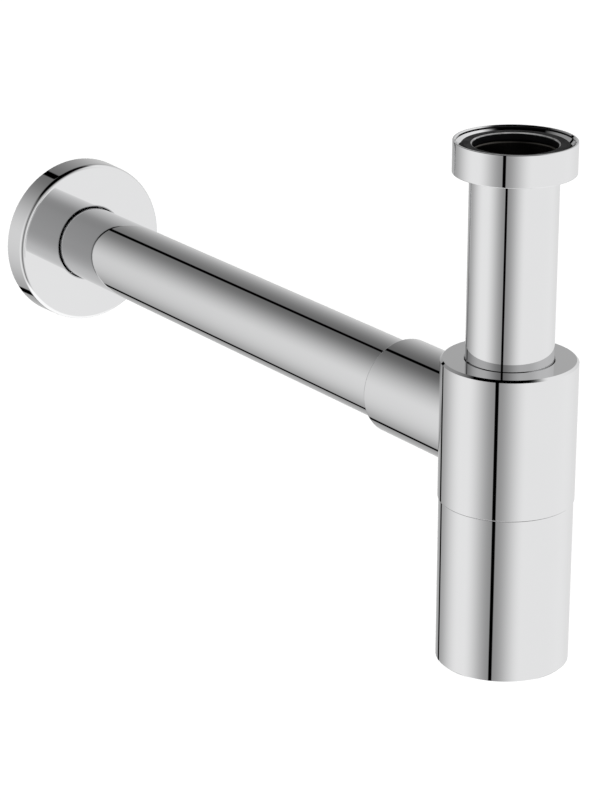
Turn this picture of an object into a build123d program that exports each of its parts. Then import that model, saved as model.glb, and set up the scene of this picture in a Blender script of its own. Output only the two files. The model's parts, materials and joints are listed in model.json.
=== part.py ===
# Bottle trap for a wash basin: union nut, inlet tube, body with outlet socket, cup, outlet tube, wall flange.
# Millimetres. Z runs up the inlet tube, Y runs along the outlet tube to the wall.
# The origin is the centre of the nut's rim.
import os

from build123d import *

# Tubes
TUBE_OD = 32.0
TUBE_WALL = 1.0
TUBE_FLANGE_PLAY = 0.275
TUBE_FLANGE_THICK = 1.2
TUBE_FLANGE_BEND = 0.8

# Union nut, with a plain bore that the step puts at the minor diameter of a G1 1/4 thread
NUT_STEP = 3.475
NUT_WALL = 2.625
NUT_HEIGHT = 11.7
NUT_MOUTH_WALL = 1.1
NUT_MOUTH_DEPTH = 1.1
NUT_MOUTH_EDGE = 0.4
NUT_LIP = 1.6
NUT_EDGE = 0.3

# Inlet seal and slip washer
SEAL_RECESS = 1.2
SEAL_THICK = 3.0
SEAL_STEP = 0.2
SEAL_LIP_RADIUS = 0.9
WASHER_THICK = 1.0

# Trap body
EXPOSED_TUBE = 68.8
BODY_OD = 50.0
BODY_HEIGHT = 53.2
BODY_WALL = 2.0
BODY_EDGE = 0.85
BODY_FLOOR = 2.6
GLAND_DEPTH = 13.2
GLAND_LEAD_IN = 0.35
GLAND_GROOVE_PITCH = 5.6

# Screwed joint between body and cup, at the mean diameter of its thread
SPIGOT_SHOULDER = 3.0
SPIGOT_WALL = 1.8
SPIGOT_LENGTH = 13.0
THREAD_RIDGE = 0.35

# Cup
CUP_STEP = 0.35
CUP_HEIGHT = 63.5
CUP_WALL = 2.0
CUP_FLOOR = 2.4
CUP_EDGE = 0.6
CUP_PARTING = 0.2
PARTING_EDGE = 0.2
CUP_RING_RECESS = 2.6
CUP_RING_SPACE = 1.6
CUP_THREAD_DEPTH = 14.5
DIP_CLEARANCE = 15.0

# Outlet socket on the body and outlet tube
OUTLET_DROP = 29.0
SOCKET_WALL = 2.45
SOCKET_LENGTH = 38.1
SOCKET_STOP_SET = 3.0
SOCKET_EDGE = 0.6
SOCKET_FIRST_GROOVE = 6.0
SOCKET_GROOVE_PITCH = 7.0
OUTLET_PUSH_IN = 6.0
OUTLET_SHOWN = 231.3
OUTLET_BEHIND_FLANGE = 25.0
DEPTH_MARK_WIDTH = 1.2
DEPTH_MARK_DEPTH = 0.2

# Wall flange
FLANGE_OD = 71.4
FLANGE_DEPTH = 11.9
FLANGE_DRAFT = 0.4
FLANGE_PLATE = 1.6
FLANGE_RIM = 1.6
FLANGE_EDGE = 2.0
FLANGE_PLAY = 0.6
FLANGE_HUB_WALL = 3.8
FLANGE_HUB_LENGTH = 7.4
FLANGE_HOLE_EDGE = 1.2

# Seal rings and fits
GROOVE_DEPTH = 1.6
GROOVE_WIDTH = 2.8
RING_WIDTH = 2.2
RING_ROUNDING = 0.45
SLIDE_CLEARANCE = 0.2
RING_CLEARANCE = 0.03
THREAD_CLEARANCE = 0.1

TUBE_R = TUBE_OD / 2
TUBE_BORE_R = TUBE_R - TUBE_WALL
GUIDE_R = TUBE_R + SLIDE_CLEARANCE
GROOVE_R = GUIDE_R + GROOVE_DEPTH
THREAD_BORE_R = TUBE_R + NUT_STEP
NUT_R = THREAD_BORE_R + NUT_WALL
BODY_R = BODY_OD / 2
CUP_R = BODY_R - CUP_STEP
SPIGOT_R = BODY_R - SPIGOT_SHOULDER
CUP_RING_R = SPIGOT_R + CUP_RING_SPACE
CAVITY_R = BODY_R - BODY_WALL
SOCKET_R = GUIDE_R + SOCKET_WALL
FLANGE_BORE_R = TUBE_R + FLANGE_PLAY
HUB_R = FLANGE_BORE_R + FLANGE_HUB_WALL

NUT_BOTTOM = -NUT_HEIGHT
LIP_TOP = NUT_BOTTOM + NUT_LIP
SEAL_TOP = -SEAL_RECESS
TUBE_TOP = SEAL_TOP - SEAL_THICK
BODY_TOP = NUT_BOTTOM - EXPOSED_TUBE
BODY_BOTTOM = BODY_TOP - BODY_HEIGHT
CUP_TOP = BODY_BOTTOM - CUP_PARTING
CUP_BOTTOM = CUP_TOP - CUP_HEIGHT
TUBE_END = CUP_BOTTOM + CUP_FLOOR + DIP_CLEARANCE
GLAND_BOTTOM = BODY_TOP - GLAND_DEPTH
GLAND_MIDDLE = BODY_TOP - GLAND_DEPTH / 2
OUTLET_Z = BODY_TOP - OUTLET_DROP
SOCKET_STOP = BODY_R + SOCKET_STOP_SET
SOCKET_REACH = BODY_R + SOCKET_LENGTH
OUTLET_START = SOCKET_STOP + OUTLET_PUSH_IN
FLANGE_FACE = SOCKET_REACH + OUTLET_SHOWN
FLANGE_BACK = FLANGE_FACE + FLANGE_DEPTH
OUTLET_END = FLANGE_BACK + OUTLET_BEHIND_FLANGE
OUTER_GROOVE = SOCKET_REACH - SOCKET_FIRST_GROOVE
INNER_GROOVE = OUTER_GROOVE - SOCKET_GROOVE_PITCH
HUB_MIDDLE = FLANGE_FACE + FLANGE_HUB_LENGTH / 2


def turned(*corners):
    """Solid of revolution about Z from corners (radius, height) or (radius, height, fillet)."""
    points = [(c[0], c[1]) for c in corners]
    radii = [c[2] if len(c) > 2 else 0 for c in corners]
    outline = make_face(FilletPolyline(*points, radius=radii, close=True))
    return revolve(Plane.XZ * outline, axis=Axis.Z)


def drum(radius, low, high):
    """Plain cylinder about Z between two heights."""
    return turned((0, low), (radius, low), (radius, high), (0, high))


def along_outlet(part):
    """Turns a part made about Z so that its height runs along the outlet axis."""
    return Pos(0, 0, OUTLET_Z) * Rot(X=-90) * part


def groove(wall_r, middle):
    """Cutter for an internal ring groove in a bore of the given radius."""
    return drum(wall_r + GROOVE_DEPTH, middle - GROOVE_WIDTH / 2, middle + GROOVE_WIDTH / 2)


def seal_ring(inner_r, outer_r, middle, width=RING_WIDTH):
    """Squeezed ring between two walls, with a rounded section."""
    low, high = middle - width / 2, middle + width / 2
    inside = inner_r + RING_CLEARANCE
    outside = outer_r - RING_CLEARANCE
    round_off = RING_ROUNDING * min(outside - inside, width)
    return turned(
        (inside, low, round_off),
        (outside, low, round_off),
        (outside, high, round_off),
        (inside, high, round_off),
    )


def make_nut():
    mouth_r = NUT_R - NUT_MOUTH_WALL
    lead_in = mouth_r - THREAD_BORE_R
    return turned(
        (GUIDE_R, NUT_BOTTOM),
        (NUT_R, NUT_BOTTOM, NUT_EDGE),
        (NUT_R, 0, NUT_EDGE),
        (mouth_r + NUT_MOUTH_EDGE, 0),
        (mouth_r, -NUT_MOUTH_EDGE),
        (mouth_r, -NUT_MOUTH_DEPTH),
        (THREAD_BORE_R, -NUT_MOUTH_DEPTH - lead_in),
        (THREAD_BORE_R, LIP_TOP),
        (GUIDE_R, LIP_TOP),
    )


def make_inlet_seal():
    inner_r = TUBE_BORE_R + SEAL_STEP
    outer_r = THREAD_BORE_R - SLIDE_CLEARANCE
    return turned(
        (inner_r, TUBE_TOP, SEAL_LIP_RADIUS / 2),
        (outer_r, TUBE_TOP),
        (outer_r, SEAL_TOP, SEAL_LIP_RADIUS),
        (inner_r, SEAL_TOP, SEAL_LIP_RADIUS),
    )


def make_slip_washer():
    inner_r = GUIDE_R + TUBE_FLANGE_BEND
    outer_r = THREAD_BORE_R - SLIDE_CLEARANCE
    washer_top = LIP_TOP + WASHER_THICK
    return turned((inner_r, LIP_TOP), (outer_r, LIP_TOP), (outer_r, washer_top), (inner_r, washer_top))


def make_inlet_tube():
    flange_r = THREAD_BORE_R - TUBE_FLANGE_PLAY
    under_flange = TUBE_TOP - TUBE_FLANGE_THICK
    return turned(
        (TUBE_BORE_R, TUBE_END),
        (TUBE_R, TUBE_END),
        (TUBE_R, under_flange, TUBE_FLANGE_BEND),
        (flange_r, under_flange),
        (flange_r, TUBE_TOP),
        (TUBE_BORE_R, TUBE_TOP, TUBE_FLANGE_BEND),
    )


def make_body():
    spigot_bottom = BODY_BOTTOM - SPIGOT_LENGTH
    spigot_bore = SPIGOT_R - SPIGOT_WALL
    floor_top = BODY_BOTTOM + BODY_FLOOR
    shell = turned(
        (0, spigot_bottom),
        (SPIGOT_R - BODY_EDGE, spigot_bottom),
        (SPIGOT_R, spigot_bottom + BODY_EDGE),
        (SPIGOT_R, BODY_BOTTOM),
        (BODY_R, BODY_BOTTOM, PARTING_EDGE),
        (BODY_R, BODY_TOP - BODY_EDGE),
        (BODY_R - BODY_EDGE, BODY_TOP),
        (0, BODY_TOP),
    )
    shell += along_outlet(
        turned(
            (0, 0),
            (SOCKET_R, 0),
            (SOCKET_R, SOCKET_REACH, SOCKET_EDGE),
            (0, SOCKET_REACH),
        )
    )
    cavity = turned(
        (0, spigot_bottom),
        (spigot_bore, spigot_bottom),
        (spigot_bore, floor_top),
        (CAVITY_R, floor_top + CAVITY_R - spigot_bore),
        (CAVITY_R, GLAND_BOTTOM),
        (0, GLAND_BOTTOM),
    )
    gland = turned(
        (0, GLAND_BOTTOM),
        (GUIDE_R, GLAND_BOTTOM),
        (GUIDE_R, BODY_TOP - GLAND_LEAD_IN),
        (GUIDE_R + GLAND_LEAD_IN, BODY_TOP),
        (0, BODY_TOP),
    )
    for side in (-1, 1):
        gland += groove(GUIDE_R, GLAND_MIDDLE + side * GLAND_GROOVE_PITCH / 2)
    waterway = drum(TUBE_BORE_R, 0, SOCKET_STOP)
    socket_bore = drum(GUIDE_R, SOCKET_STOP, SOCKET_REACH)
    for middle in (INNER_GROOVE, OUTER_GROOVE):
        socket_bore += groove(GUIDE_R, middle)
    return shell - cavity - gland - along_outlet(waterway) - along_outlet(socket_bore)


def make_cup():
    thread_r = SPIGOT_R + THREAD_CLEARANCE
    bore_r = CUP_R - CUP_WALL
    floor = CUP_BOTTOM + CUP_FLOOR
    thread_low = CUP_TOP - CUP_THREAD_DEPTH
    return turned(
        (0, CUP_BOTTOM),
        (CUP_R - CUP_EDGE, CUP_BOTTOM),
        (CUP_R, CUP_BOTTOM + CUP_EDGE),
        (CUP_R, CUP_TOP, PARTING_EDGE),
        (CUP_RING_R, CUP_TOP),
        (CUP_RING_R, CUP_TOP - CUP_RING_RECESS),
        (thread_r, CUP_TOP - CUP_RING_RECESS),
        (thread_r, thread_low),
        (bore_r, thread_low - abs(bore_r - thread_r)),
        (bore_r, floor, CUP_WALL),
        (0, floor),
    )


def make_outlet_tube():
    mark_near = FLANGE_BACK
    mark_far = FLANGE_BACK + DEPTH_MARK_WIDTH
    mark_r = TUBE_R - DEPTH_MARK_DEPTH
    return along_outlet(
        turned(
            (TUBE_BORE_R, OUTLET_START),
            (TUBE_R, OUTLET_START),
            (TUBE_R, mark_near),
            (mark_r, mark_near),
            (mark_r, mark_far),
            (TUBE_R, mark_far),
            (TUBE_R, OUTLET_END),
            (TUBE_BORE_R, OUTLET_END),
        )
    )


def make_flange():
    outer_r = FLANGE_OD / 2
    inner_r = outer_r - FLANGE_RIM
    plate_back = FLANGE_FACE + FLANGE_PLATE
    hub_back = FLANGE_FACE + FLANGE_HUB_LENGTH
    shell = turned(
        (FLANGE_BORE_R, FLANGE_FACE, FLANGE_HOLE_EDGE),
        (outer_r - FLANGE_DRAFT, FLANGE_FACE, FLANGE_EDGE),
        (outer_r, FLANGE_BACK),
        (inner_r, FLANGE_BACK),
        (inner_r - FLANGE_DRAFT, plate_back),
        (HUB_R, plate_back),
        (HUB_R, hub_back),
        (FLANGE_BORE_R, hub_back),
    )
    return along_outlet(shell - groove(FLANGE_BORE_R, HUB_MIDDLE))


def make_cup_ring():
    """Seal between the body's shoulder and the cup, wide enough to pass over the spigot's thread."""
    recess_floor = CUP_TOP - CUP_RING_RECESS
    middle = (BODY_BOTTOM + recess_floor) / 2
    width = BODY_BOTTOM - recess_floor - 2 * RING_CLEARANCE
    return seal_ring(SPIGOT_R + THREAD_RIDGE, CUP_RING_R, middle, width)


nodes = {
    "inlet_nut": make_nut(),
    "inlet_seal": make_inlet_seal(),
    "nut_slip_washer": make_slip_washer(),
    "inlet_tube": make_inlet_tube(),
    "trap_body": make_body(),
    "gland_o_ring_upper": seal_ring(TUBE_R, GROOVE_R, GLAND_MIDDLE + GLAND_GROOVE_PITCH / 2),
    "gland_o_ring_lower": seal_ring(TUBE_R, GROOVE_R, GLAND_MIDDLE - GLAND_GROOVE_PITCH / 2),
    "trap_cup": make_cup(),
    "cup_o_ring": make_cup_ring(),
    "outlet_o_ring_inner": along_outlet(seal_ring(TUBE_R, GROOVE_R, INNER_GROOVE)),
    "outlet_o_ring_outer": along_outlet(seal_ring(TUBE_R, GROOVE_R, OUTER_GROOVE)),
    "outlet_tube": make_outlet_tube(),
    "wall_flange": make_flange(),
    "flange_grip_ring": along_outlet(seal_ring(TUBE_R, FLANGE_BORE_R + GROOVE_DEPTH, HUB_MIDDLE)),
}

os.makedirs("parts", exist_ok=True)
for name, solid in nodes.items():
    export_step(solid, f"parts/{name}.step")
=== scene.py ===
import json
import math

import bpy
import numpy as np
from mathutils import Matrix, Vector


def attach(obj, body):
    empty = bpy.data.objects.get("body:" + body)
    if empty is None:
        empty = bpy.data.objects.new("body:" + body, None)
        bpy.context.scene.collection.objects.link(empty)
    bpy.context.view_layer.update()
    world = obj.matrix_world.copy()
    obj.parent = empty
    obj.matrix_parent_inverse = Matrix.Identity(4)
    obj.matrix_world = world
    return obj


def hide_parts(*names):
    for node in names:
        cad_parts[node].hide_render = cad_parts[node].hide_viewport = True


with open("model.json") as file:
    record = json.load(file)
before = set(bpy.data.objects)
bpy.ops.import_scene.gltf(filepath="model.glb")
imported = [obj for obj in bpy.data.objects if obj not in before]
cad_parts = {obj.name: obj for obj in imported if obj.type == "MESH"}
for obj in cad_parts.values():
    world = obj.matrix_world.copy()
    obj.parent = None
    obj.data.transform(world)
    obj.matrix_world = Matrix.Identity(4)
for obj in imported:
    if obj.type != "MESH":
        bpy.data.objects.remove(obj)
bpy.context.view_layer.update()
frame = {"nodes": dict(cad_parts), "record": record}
scene = bpy.context.scene
scene.view_settings.view_transform = "Standard"

MM = 0.001
WHITE = (1, 1, 1, 1)


# Camera: its turn and rise, its place in metres, and its focal length in pixels of the picture

AZIMUTH = math.radians(-34.849)
ELEVATION = math.radians(19.942)
CAMERA_AT = Vector((-0.587567, -0.712342, 0.237429))
FOCAL_PIXELS = 2715.737
IMAGE_HEIGHT = 800
SENSOR_WIDTH = 36.0

TOWARDS_CAMERA = Vector((math.sin(AZIMUTH), -math.cos(AZIMUTH), 0.0))
RIGHT = Vector((math.cos(AZIMUTH), math.sin(AZIMUTH), 0.0))
BACK = TOWARDS_CAMERA * math.cos(ELEVATION) + Vector((0, 0, math.sin(ELEVATION)))


def make_camera():
    """Camera at its place, with RIGHT to its right and BACK behind it."""
    data = bpy.data.cameras.new("camera")
    data.sensor_width = SENSOR_WIDTH
    data.lens = FOCAL_PIXELS / IMAGE_HEIGHT * SENSOR_WIDTH
    camera = bpy.data.objects.new("camera", data)
    turned = Matrix((RIGHT, BACK.cross(RIGHT), BACK)).transposed().to_4x4()
    camera.matrix_world = Matrix.Translation(CAMERA_AT) @ turned
    scene.collection.objects.link(camera)
    scene.camera = camera


make_camera()


# Node helpers

class Graph:
    """A node tree with short calls for adding nodes and joining them."""

    def __init__(self, owner):
        owner.use_nodes = True
        self.tree = owner.node_tree
        self.tree.nodes.clear()

    def node(self, kind, inputs=None, **settings):
        made = self.tree.nodes.new(kind)
        for name, value in settings.items():
            setattr(made, name, value)
        for key, value in (inputs or {}).items():
            self.put(made.inputs[key], value)
        return made

    def put(self, socket, value):
        if isinstance(value, bpy.types.NodeSocket):
            self.tree.links.new(value, socket)
        else:
            socket.default_value = value

    def math(self, operation, a, b=0.0, c=0.0, clamp=False):
        made = self.node("ShaderNodeMath", {0: a, 1: b, 2: c}, operation=operation, use_clamp=clamp)
        return made.outputs[0]

    def times(self, a, b):
        return self.math("MULTIPLY", a, b)

    def distance(self, a, b):
        """Root of a squared plus b squared."""
        return self.math("SQRT", self.math("ADD", self.times(a, a), self.times(b, b)))

    def dot(self, a, b):
        made = self.node("ShaderNodeVectorMath", {0: a, 1: b}, operation="DOT_PRODUCT")
        return made.outputs["Value"]

    def smooth(self, value, low, high, out_low=0.0, out_high=1.0):
        """Smooth step from out_low at low to out_high at high."""
        made = self.node("ShaderNodeMapRange",
                         {0: value, 1: low, 2: high, 3: out_low, 4: out_high},
                         interpolation_type="SMOOTHSTEP")
        return made.outputs[0]

    def mix(self, share, a, b):
        """Number between a and b."""
        return self.node("ShaderNodeMix", {0: share, 2: a, 3: b}).outputs[0]

    def tint(self, share, a, b):
        """Colour between a and b."""
        return self.node("ShaderNodeMix", {0: share, 6: a, 7: b}, data_type="RGBA").outputs[2]

    def noise(self, place, scale, detail):
        made = self.node("ShaderNodeTexNoise", {"Vector": place, "Scale": scale, "Detail": detail})
        return made.outputs[0]

    def seen(self):
        """1 where the camera looks straight at it, otherwise 0."""
        return self.node("ShaderNodeLightPath").outputs["Is Camera Ray"]

    def finish(self, shader):
        self.node("ShaderNodeOutputMaterial", {0: shader.outputs[0]})


# Studio: a tent of soft white panels. Towards the seams where two panels meet the light sinks, and
# each seam stands open as a dark slit. It is dark overhead, and a white sheet lies below.
# Angles are in degrees. A pair of them is where a soft edge starts and ends. A seam's shade is the share
# of light lost at its turn, its reach how far that goes to the left and right, and its slit leans and
# widens by so many degrees per degree of rise.

PANEL_LIGHT = 1.37
SHEET_LIGHT = 1.73
SEAMS = [
    {"turn": -23.6, "shade": 0.66, "reach": (52.0, 52.0),
     "slit": 6.1, "lean": 0.0, "flare": 0.0},
    {"turn": -148.5, "shade": 0.61, "reach": (110.0, 63.0),
     "slit": 7.2, "lean": -0.033, "flare": -0.02},
]
SLIT_EDGE = (0.38, 0.62)    # in shares of the slit's width
FADE_TOP, FADE_POWER = 54.0, 1.6
RIGHT_TOP = (50.0, 66.0)
RIGHT_PANEL_NEAR, RIGHT_PANEL_FAR = (45.0, 85.0), (150.0, 172.0)
SHEET_EDGE = (-56.0, -42.0)
HALF_TURN = 180.0


def shade_seam(g, light, seam, turn, rise):
    """Light that sinks by a smooth step over the seam's reach and goes out in its slit."""
    off = g.math("WRAP", g.math("SUBTRACT", turn, seam["turn"]), HALF_TURN, -HALF_TURN)
    before, after = seam["reach"]
    share = g.math("MAXIMUM", g.math("DIVIDE", off, -before), g.math("DIVIDE", off, after))
    light = g.times(light, g.smooth(share, 0.0, 1.0, 1 - seam["shade"], 1.0))
    from_slit = g.math("ABSOLUTE", g.math("MULTIPLY_ADD", rise, -seam["lean"], off))
    width = g.math("MULTIPLY_ADD", rise, seam["flare"], seam["slit"])
    return g.times(light, g.smooth(g.math("DIVIDE", from_slit, width), *SLIT_EDGE))


def make_studio():
    """World light by direction: turn from the camera to the right, and rise above the horizon."""
    world = bpy.data.worlds.new("studio")
    scene.world = world
    g = Graph(world)
    direction = g.node("ShaderNodeTexCoord").outputs["Generated"]
    across = g.dot(direction, RIGHT)
    towards = g.dot(direction, TOWARDS_CAMERA)
    upward = g.node("ShaderNodeSeparateXYZ", {0: direction}).outputs["Z"]
    turn = g.times(g.math("ARCTAN2", across, towards), math.degrees(1.0))
    rise = g.times(g.math("ARCSINE", upward), math.degrees(1.0))
    height = g.math("DIVIDE", g.math("MAXIMUM", rise, 0.0), FADE_TOP)
    left = g.math("SUBTRACT", 1.0, g.math("POWER", height, FADE_POWER), clamp=True)
    right = g.smooth(rise, *RIGHT_TOP, 1.0, 0.0)
    on_right = g.times(g.smooth(turn, *RIGHT_PANEL_NEAR),
                       g.smooth(turn, *RIGHT_PANEL_FAR, 1.0, 0.0))
    light = g.times(g.mix(on_right, left, right), PANEL_LIGHT)
    for seam in SEAMS:
        light = shade_seam(g, light, seam, turn, rise)
    below = g.smooth(rise, *SHEET_EDGE, 1.0, 0.0)
    tent = g.node("ShaderNodeBackground", {0: g.mix(below, light, SHEET_LIGHT), 1: 1.0})
    white = g.node("ShaderNodeBackground", {0: WHITE, 1: 1.0})
    mixed = g.node("ShaderNodeMixShader", {0: g.seen(), 1: tent.outputs[0], 2: white.outputs[0]})
    g.node("ShaderNodeOutputWorld", {0: mixed.outputs[0]})


make_studio()

FLOOR_HALF, FLOOR_Z = 6.0, -0.5    # metres
FLOOR_TONE, FLOOR_GLOW = 0.8, 0.69


def make_floor_material():
    """Matt white that takes a shadow, lifted a little past full white where the camera sees it."""
    material = bpy.data.materials.new("floor_white")
    g = Graph(material)
    matt = g.node("ShaderNodeBsdfDiffuse", {0: (FLOOR_TONE, FLOOR_TONE, FLOOR_TONE, 1)})
    glow = g.node("ShaderNodeEmission", {0: WHITE, 1: g.times(g.seen(), FLOOR_GLOW)})
    g.finish(g.node("ShaderNodeAddShader", {0: matt.outputs[0], 1: glow.outputs[0]}))
    return material


def make_floor():
    """Flat square: its corners lie FLOOR_HALF from the middle in x and y, at the height FLOOR_Z.

    Metal shows the tent's sheet in its place.
    """
    signs = ((-1, -1), (1, -1), (1, 1), (-1, 1))
    mesh = bpy.data.meshes.new("floor")
    mesh.from_pydata([(x * FLOOR_HALF, y * FLOOR_HALF, FLOOR_Z) for x, y in signs], [], [(0, 1, 2, 3)])
    mesh.materials.append(make_floor_material())
    floor = bpy.data.objects.new("floor", mesh)
    floor.visible_glossy = False
    scene.collection.objects.link(floor)


make_floor()


# Sizes of the made pieces, in millimetres. Levels run up the inlet's axis, or along the outlet's.

OUTLET_Z = -109.5

NUT_R, NUT_EDGE = 22.1, 0.3
NUT_BOTTOM, NUT_LIP_TOP, NUT_HOLE_R = -11.7, -10.1, 16.2
NUT_MOUTH_R, NUT_MOUTH_DEPTH, NUT_CHAMFER = 21.0, 1.1, 0.4
NUT_BORE_R = 19.475
NUT_BORE_TOP = -NUT_MOUTH_DEPTH - (NUT_MOUTH_R - NUT_BORE_R)
NUT_PITCH, NUT_THREAD_DEPTH = 2.309, 1.48
NUT_THREAD_ENDS = (-10.0, -2.4)

CUP_R, CUP_TOP, CUP_TOP_EDGE = 24.65, -133.9, 0.2
CUP_BOTTOM, CUP_CHAMFER = -197.4, 0.6
CUP_FLOOR, CUP_FLOOR_EDGE, CUP_WELL_R = -195.0, 2.0, 22.65
CUP_RECESS_R = 23.6
CUP_BORE_R, CUP_BORE_TOP, CUP_BORE_END = 22.1, -136.5, -148.4
CUP_PITCH, CUP_THREAD_DEPTH = 2.0, 0.35
# The groove keeps its full depth up to the bore's top, where the spigot's ridges leave it when the
# cup is unscrewed.
CUP_THREAD_ENDS = (-148.2, CUP_BORE_TOP + 0.5 * CUP_PITCH)

SPIGOT_R, SPIGOT_CORE_R = 22.0, 21.0
SPIGOT_LOW, SPIGOT_HIGH = -145.8, -136.8
SPIGOT_THREAD_DEPTH = 0.9 * CUP_THREAD_DEPTH
SPIGOT_THREAD_ENDS = (-145.7, -136.9)

FLANGE_R, FLANGE_DRAFT, FLANGE_EDGE = 35.7, 0.4, 2.0
FLANGE_FACE, FLANGE_BACK, FLANGE_WALL = 294.4, 306.3, 1.6
# The hole is drawn 0.3 mm closer round the tube than the solid's, and its edge less round.
HOLE_R, HOLE_EDGE = 16.3, 0.8
HUB_R, HUB_BACK = 20.4, 301.8
RING_GROOVE_R, RING_GROOVE_NEAR, RING_GROOVE_FAR = 18.2, 296.7, 299.5

SEGMENTS = 256
ARC_STEPS, FLANGE_ARC_STEPS = 6, 12
HOLD = 0.15    # how far a holding point stands off its arc, in shares of the rounding
WALL_STEP = 0.1
SHARP_ANGLE = math.radians(32)
TINY = 1e-6


# Materials. Two colours are blended by noise. A noise has a scale and a detail. Four numbers are the
# ends of a smooth step and its values there.

UP, ALONG_OUTLET = 2, 1    # axes of the turned pieces
PLATING = ((0.545, 0.546, 0.550, 1), (0.556, 0.557, 0.561, 1))
BRASS = ((0.40, 0.32, 0.19, 1), (0.50, 0.41, 0.26, 1))
# Painted shade: near black for the bare metal inside the tubes, standing in for the shade deep in them.
PAINTED_SHADE_INSIDE = ((0.030, 0.028, 0.026, 1), (0.060, 0.056, 0.050, 1))
RUBBER = ((0.003, 0.003, 0.0035, 1), (0.008, 0.008, 0.0085, 1))
NYLON = ((0.76, 0.76, 0.72, 1), (0.84, 0.84, 0.81, 1))

PATCHES, MARKS = (45.0, 3.0), (1.0, 2.0)
MARK_ALONG, MARK_ACROSS = 60.0, 2600.0
PATCH_POLISH = (0.35, 0.7, 0.010, 0.020)
MARK_POLISH = (0.55, 0.8, 0.0, 0.006)
BARE_ROUGH = (0.3, 0.7, 0.3, 0.45)

GRAIN, BLOOM = (2400.0, 2.0), (160.0, 3.0)
GRAIN_STRENGTH, GRAIN_HEIGHT = 0.15, 0.0001
RUBBER_ROUGH = (0.3, 0.7, 0.42, 0.56)
RUBBER_GLOSS = 0.06
# Painted highlight: a pale band on the seal's inner lip where light would catch it.
LIP_HIGHLIGHT, LIP_HIGHLIGHT_BLUR = (0.3, 0.65, 0.5, 1.0), 0.0001

MOTTLE = (300.0, 3.0)
NYLON_ROUGH = (0.3, 0.7, 0.4, 0.55)


def start_material(name):
    """New material, its graph, and the place on the piece that its patterns read."""
    material = bpy.data.materials.new(name)
    g = Graph(material)
    return material, g, g.node("ShaderNodeTexCoord").outputs["Object"]


def make_chrome(name, axis, inside, bare_tones=BRASS):
    """Polished plating with soft patches and fine wiping marks along the axis, and bare metal inside.

    inside = (core, radius, low, high) in metres: the bare metal lies between two distances from the
    axis and two places along it.
    """
    material, g, place = start_material(name)
    patches = g.noise(place, *PATCHES)
    stretch = tuple(MARK_ALONG if i == axis else MARK_ACROSS for i in range(3))
    drawn = g.node("ShaderNodeVectorMath", {0: place, 1: stretch}, operation="MULTIPLY").outputs[0]
    marks = g.noise(drawn, *MARKS)
    polish = g.math("ADD", g.smooth(patches, *PATCH_POLISH), g.smooth(marks, *MARK_POLISH))
    x, y, z = g.node("ShaderNodeSeparateXYZ", {0: place}).outputs
    if axis == UP:
        along, out = z, g.distance(x, y)
    else:
        along, out = y, g.distance(x, g.math("ADD", z, -MM * OUTLET_Z))
    core, radius, low, high = inside
    across_it = g.times(g.math("GREATER_THAN", out, core), g.math("LESS_THAN", out, radius))
    along_it = g.times(g.math("GREATER_THAN", along, low), g.math("LESS_THAN", along, high))
    within = g.times(across_it, along_it)
    # The bare metal takes bare_tones; inside the tubes these are painted shade.
    colour = g.tint(within, g.tint(patches, *PLATING), g.tint(marks, *bare_tones))
    rough = g.mix(within, polish, g.smooth(patches, *BARE_ROUGH))
    g.finish(g.node("ShaderNodeBsdfPrincipled",
                    {"Base Color": colour, "Metallic": 1.0, "Roughness": rough}))
    return material


def make_rubber(name, lip=None):
    """Black moulded rubber with a fine grain and a slight bloom.

    lip = (radius, low, tone), if given, paints a pale highlight on the edge: nearer the Z axis than
    radius and above low, in metres.
    """
    material, g, place = start_material(name)
    grain = g.noise(place, *GRAIN)
    bloom = g.noise(place, *BLOOM)
    colour = g.tint(bloom, *RUBBER)
    if lip:
        radius, low, tone = lip
        x, y, z = g.node("ShaderNodeSeparateXYZ", {0: place}).outputs
        near = g.smooth(g.distance(x, y), radius - LIP_HIGHLIGHT_BLUR, radius + LIP_HIGHLIGHT_BLUR, 1.0, 0.0)
        above = g.smooth(z, low - LIP_HIGHLIGHT_BLUR, low + LIP_HIGHLIGHT_BLUR)
        # Painted highlight: the lip's edge is toned pale, in patches by the bloom.
        highlight = g.times(g.times(near, above), g.smooth(bloom, *LIP_HIGHLIGHT))
        colour = g.tint(highlight, colour, (tone, tone, tone, 1))
    bump = g.node("ShaderNodeBump",
                  {"Strength": GRAIN_STRENGTH, "Distance": GRAIN_HEIGHT, "Height": grain}).outputs[0]
    g.finish(g.node("ShaderNodeBsdfPrincipled",
                    {"Base Color": colour, "Roughness": g.smooth(bloom, *RUBBER_ROUGH),
                     "Normal": bump, "Specular IOR Level": RUBBER_GLOSS}))
    return material


def make_plastic():
    """Natural white nylon with a faint mottle."""
    material, g, place = start_material("white_plastic_look")
    mottle = g.noise(place, *MOTTLE)
    g.finish(g.node("ShaderNodeBsdfPrincipled",
                    {"Base Color": g.tint(mottle, *NYLON),
                     "Roughness": g.smooth(mottle, *NYLON_ROUGH)}))
    return material


# Made pieces

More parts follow.
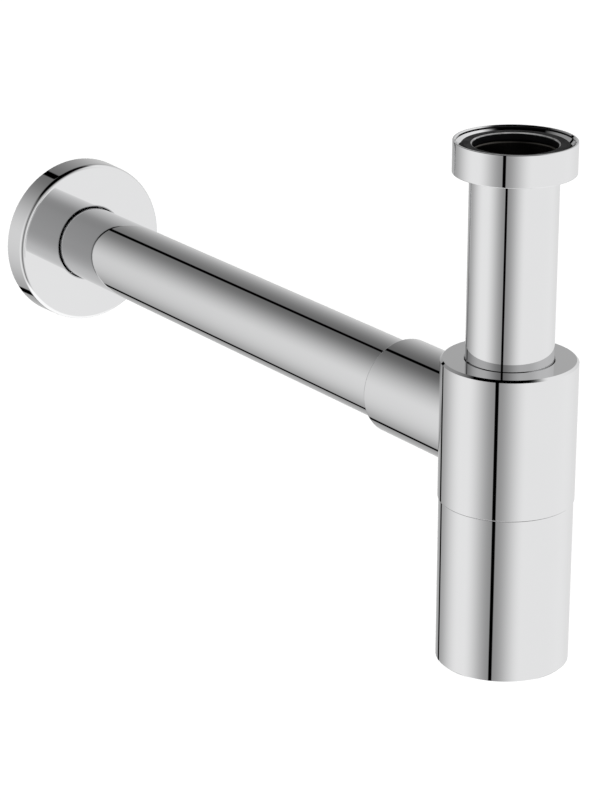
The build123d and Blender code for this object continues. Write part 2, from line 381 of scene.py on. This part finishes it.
def rounded(corners, steps=ARC_STEPS):
    """Meridian through corners (radius, height[, rounding]) in millimetres.

    A rounded corner becomes an arc tangent to both sides, with a holding point just before and after
    it, so that the flats next to it stay flat in the shading. A sharp corner is one point.
    """
    points = []
    count = len(corners)
    for i, corner in enumerate(corners):
        here = np.array(corner[:2], float)
        if len(corner) == 2:
            points.append(here)
            continue
        before = np.array(corners[i - 1][:2], float) - here
        after = np.array(corners[(i + 1) % count][:2], float) - here
        a, b = before / np.linalg.norm(before), after / np.linalg.norm(after)
        radius = corner[2]
        half = math.acos(np.clip(a @ b, -1, 1)) / 2
        reach = radius / math.tan(half)
        middle = here + (a + b) / np.linalg.norm(a + b) * radius / math.sin(half)
        start, end = here + a * reach, here + b * reach
        u, v = start - middle, end - middle
        sweep = math.pi - 2 * half
        points.append(start + a * HOLD * radius)
        for t in np.linspace(0, 1, steps + 1):
            turned = math.sin((1 - t) * sweep) * u + math.sin(t * sweep) * v
            points.append(middle + turned / math.sin(sweep))
        points.append(end + b * HOLD * radius)
    return np.array(points)


def wall(radius, start, end):
    """Points of a straight wall at one radius, close enough together to carry a thread."""
    levels = np.linspace(start, end, int(abs(end - start) / WALL_STEP) + 1)
    return np.stack([np.full_like(levels, radius), levels], axis=1)


def thread(pitch, depth, bore, ends):
    """Right-hand round thread: a wave of the given depth in r that climbs one pitch per turn.

    It acts only on the wall at the bore radius, and fades out over half a pitch at each of its ends.
    """
    low, high = ends
    run_out = 0.5 * pitch

    def wave(t, r, h):
        phase = h / pitch - t / (2 * math.pi)
        fade = np.clip((h - low) / run_out, 0, 1) * np.clip((high - h) / run_out, 0, 1)
        height = depth * fade * (0.5 + 0.5 * np.cos(2 * math.pi * phase))
        return np.where(np.abs(r - bore) < TINY, height, 0.0)

    return wave


def lathe(name, meridian, groove=None, outlet=False):
    """Surface of revolution: each point (r, h) of the closed meridian turns through a full circle.

    Position = (r cos t, r sin t, h), where groove(t, r, h), if given, adds to r.
    With outlet set, h runs along the outlet axis instead of up. A point at r = 0 becomes a pole.
    """
    r, h = meridian[:, 0], meridian[:, 1]
    t = np.arange(SEGMENTS) * (2 * math.pi / SEGMENTS)
    radius = np.repeat(r[:, None], SEGMENTS, axis=1)
    level = np.repeat(h[:, None], SEGMENTS, axis=1)
    if groove is not None:
        radius = radius + groove(t[None, :], radius, level)
    grid = np.stack([radius * np.cos(t), radius * np.sin(t), level], axis=-1)
    poles, rings = np.flatnonzero(r < TINY), np.flatnonzero(r >= TINY)
    ring_at = {ring: k * SEGMENTS for k, ring in enumerate(rings)}
    pole_at = {pole: len(rings) * SEGMENTS + k for k, pole in enumerate(poles)}
    points = np.concatenate([grid[rings].reshape(-1, 3), grid[poles, 0]])
    i = np.arange(SEGMENTS)
    j = (i + 1) % SEGMENTS
    faces = []
    for a in range(len(r)):
        b = (a + 1) % len(r)
        if a in pole_at and b in pole_at:
            continue
        if a in pole_at:
            band = [np.full(SEGMENTS, pole_at[a]), ring_at[b] + j, ring_at[b] + i]
        elif b in pole_at:
            band = [ring_at[a] + i, ring_at[a] + j, np.full(SEGMENTS, pole_at[b])]
        else:
            band = [ring_at[a] + i, ring_at[a] + j, ring_at[b] + j, ring_at[b] + i]
        faces.extend(np.stack(band, axis=1).tolist())
    clockwise = np.sum(r * np.roll(h, -1) - np.roll(r, -1) * h) < 0
    if clockwise:
        faces = [face[::-1] for face in faces]
    if outlet:
        points = np.stack([points[:, 0], points[:, 2], OUTLET_Z - points[:, 1]], axis=1)
    mesh = bpy.data.meshes.new(name)
    mesh.from_pydata((points * MM).tolist(), [], faces)
    mesh.shade_smooth()
    mesh.set_sharp_from_angle(angle=SHARP_ANGLE)
    piece = bpy.data.objects.new(name, mesh)
    scene.collection.objects.link(piece)
    return piece


def make_nut():
    """Nut: its meridian turned round the inlet's axis, with the thread's wave added in the bore.

    The meridian runs from the lip round the outside to the chamfered mouth and a cone to the bore.
    """
    outside = rounded([
        (NUT_HOLE_R, NUT_LIP_TOP),
        (NUT_HOLE_R, NUT_BOTTOM),
        (NUT_R, NUT_BOTTOM, NUT_EDGE),
        (NUT_R, 0, NUT_EDGE),
        (NUT_MOUTH_R + NUT_CHAMFER, 0),
        (NUT_MOUTH_R, -NUT_CHAMFER),
        (NUT_MOUTH_R, -NUT_MOUTH_DEPTH),
        (NUT_BORE_R, NUT_BORE_TOP),
    ])[:-1]
    bore = wall(NUT_BORE_R, NUT_BORE_TOP, NUT_LIP_TOP)
    groove = thread(NUT_PITCH, NUT_THREAD_DEPTH, NUT_BORE_R, NUT_THREAD_ENDS)
    return lathe("union_nut", np.concatenate([outside, bore]), groove)


def make_cup():
    """Cup: its meridian turned round the inlet's axis, with the thread's wave added in the bore.

    The meridian runs from the closed bottom up the outside, over the ring's recess and down the bore
    into the well.
    """
    outside = rounded([
        (0, CUP_FLOOR),
        (0, CUP_BOTTOM),
        (CUP_R - CUP_CHAMFER, CUP_BOTTOM),
        (CUP_R, CUP_BOTTOM + CUP_CHAMFER),
        (CUP_R, CUP_TOP, CUP_TOP_EDGE),
        (CUP_RECESS_R, CUP_TOP),
        (CUP_RECESS_R, CUP_BORE_TOP),
        (CUP_BORE_R, CUP_BORE_TOP),
    ])[:-1]
    bore = wall(CUP_BORE_R, CUP_BORE_TOP, CUP_BORE_END)
    well = rounded([
        (CUP_BORE_R, CUP_BORE_END),
        (CUP_WELL_R, CUP_BORE_END - (CUP_WELL_R - CUP_BORE_R)),
        (CUP_WELL_R, CUP_FLOOR, CUP_FLOOR_EDGE),
        (0, CUP_FLOOR),
    ])[1:-1]
    groove = thread(CUP_PITCH, CUP_THREAD_DEPTH, CUP_BORE_R, CUP_THREAD_ENDS)
    return lathe("bottle_cup", np.concatenate([outside, bore, well]), groove)


def make_spigot():
    """Sleeve in the body's spigot: a ring of straight walls, with the thread's wave added outside."""
    core = np.array([[SPIGOT_CORE_R, SPIGOT_LOW], [SPIGOT_CORE_R, SPIGOT_HIGH]])
    outside = wall(SPIGOT_R, SPIGOT_HIGH, SPIGOT_LOW)
    ridge = thread(CUP_PITCH, SPIGOT_THREAD_DEPTH, SPIGOT_R, SPIGOT_THREAD_ENDS)
    return lathe("spigot_thread", np.concatenate([core, outside]), ridge)


def make_flange():
    """Flange: its meridian turned round the outlet's axis.

    The meridian runs from the hole over the plate to the rim, back inside it to the hub, and through
    the ring's groove in the hub's bore.
    """
    rim_r = FLANGE_R - FLANGE_WALL
    plate_back = FLANGE_FACE + FLANGE_WALL
    profile = rounded([
        (HOLE_R, FLANGE_FACE, HOLE_EDGE),
        (FLANGE_R - FLANGE_DRAFT, FLANGE_FACE, FLANGE_EDGE),
        (FLANGE_R, FLANGE_BACK),
        (rim_r, FLANGE_BACK),
        (rim_r - FLANGE_DRAFT, plate_back),
        (HUB_R, plate_back),
        (HUB_R, HUB_BACK),
        (HOLE_R, HUB_BACK),
        (HOLE_R, RING_GROOVE_FAR),
        (RING_GROOVE_R, RING_GROOVE_FAR),
        (RING_GROOVE_R, RING_GROOVE_NEAR),
        (HOLE_R, RING_GROOVE_NEAR),
    ], FLANGE_ARC_STEPS)
    return lathe("flange_rosette", profile, outlet=True)


nut = make_nut()
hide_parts("inlet_nut")
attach(nut, "nut")

cup = make_cup()
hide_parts("trap_cup")
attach(cup, "cup")

spigot = make_spigot()
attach(spigot, "body")

flange = make_flange()
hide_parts("wall_flange")
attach(flange, "flange")


# Looks on the nodes and the made pieces. Where metal is bare, and where the seal's lip has a painted
# highlight, in metres.

FAR = 1.0
NUT_BARE = (0.0, 0.02105, -0.0101, -0.0026)
TUBE_BARE = (0.0, 0.0155, -FAR, FAR)
BODY_BARE = (0.0, 0.0245, -FAR, -0.0809)
CUP_BARE = (0.0, 0.0241, -0.1955, -0.1345)
FLANGE_BARE = (0.0175, 0.0345, 0.2956, FAR)
# Painted highlight on the seal's inner lip: its radius, its low edge and its pale tone.
SEAL_LIP_HIGHLIGHT = (0.0157, -0.0017, 0.75)

chrome = {
    "inlet_nut": make_chrome("chrome_nut", UP, NUT_BARE),
    "inlet_tube": make_chrome("chrome_inlet", UP, TUBE_BARE, PAINTED_SHADE_INSIDE),
    "trap_body": make_chrome("chrome_body", UP, BODY_BARE),
    # The tubes' insides are painted shade: near black where the shade lies deep in them.
    "trap_cup": make_chrome("chrome_cup", UP, CUP_BARE),
    "outlet_tube": make_chrome("chrome_outlet", ALONG_OUTLET, TUBE_BARE, PAINTED_SHADE_INSIDE),
    "wall_flange": make_chrome("chrome_flange", ALONG_OUTLET, FLANGE_BARE),
}
rubber = make_rubber("black_rubber_look")
seal_rubber = make_rubber("inlet_seal_look", SEAL_LIP_HIGHLIGHT)
plastic = make_plastic()
slots = {s["node"]: s["material_slot"] for s in frame["record"]["subparts"]}
for name, node in frame["nodes"].items():
    finish = {
        "polished_chrome": chrome.get(name),
        "black_rubber": seal_rubber if name == "inlet_seal" else rubber,
        "white_plastic": plastic,
    }[slots[name]]
    if not node.material_slots:
        node.data.materials.append(finish)
    for place in node.material_slots:
        place.material = finish
looks = ((nut, "inlet_nut"), (cup, "trap_cup"), (spigot, "trap_body"), (flange, "wall_flange"))
for piece, look in looks:
    piece.data.materials.append(chrome[look])
